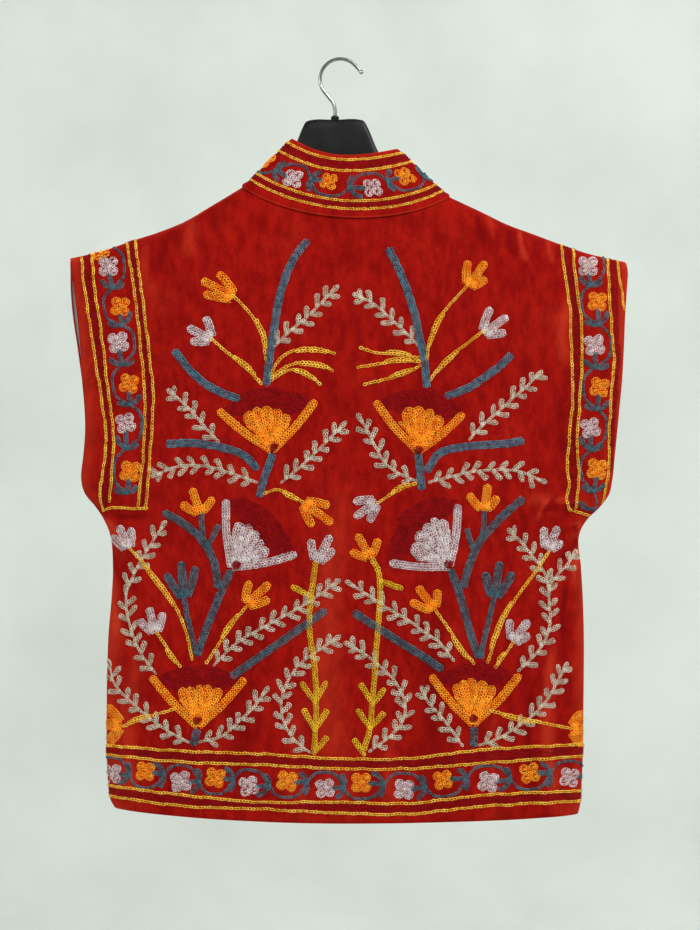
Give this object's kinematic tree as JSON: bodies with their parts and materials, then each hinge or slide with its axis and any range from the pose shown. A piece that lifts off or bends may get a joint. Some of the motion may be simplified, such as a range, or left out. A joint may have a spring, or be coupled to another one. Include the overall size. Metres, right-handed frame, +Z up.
{
  "type": "sleeveless velvet jacket on a coat hanger",
  "caption": "Boxy sleeveless velvet jacket with dropped shoulders and a standing collar, open down the front, hung flat on a moulded coat hanger with a steel wire hook.",
  "frame": {"origin": "on the inside of the hook's bend, where it bears on the nail or rail that carries the hanger", "axes": "+Z up, +Y out of the jacket's front, so that its back faces -Y, +X towards the wearer's right"},
  "size_m": [0.5855, 0.0497, 0.8009],
  "materials": {
    "velvet": "deep red cotton velvet, soft nap",
    "lining": "pale grey plain woven cotton",
    "plastic": "black moulded plastic, satin",
    "steel": "plated steel wire, bright"
  },
  "bodies": {
    "root": {"back": "velvet", "front_left": "velvet", "front_right": "velvet", "collar": "velvet", "lining_left": "lining", "lining_right": "lining", "hanger": "plastic", "ferrule": "plastic", "hook": "steel"}
  },
  "joints": []
}
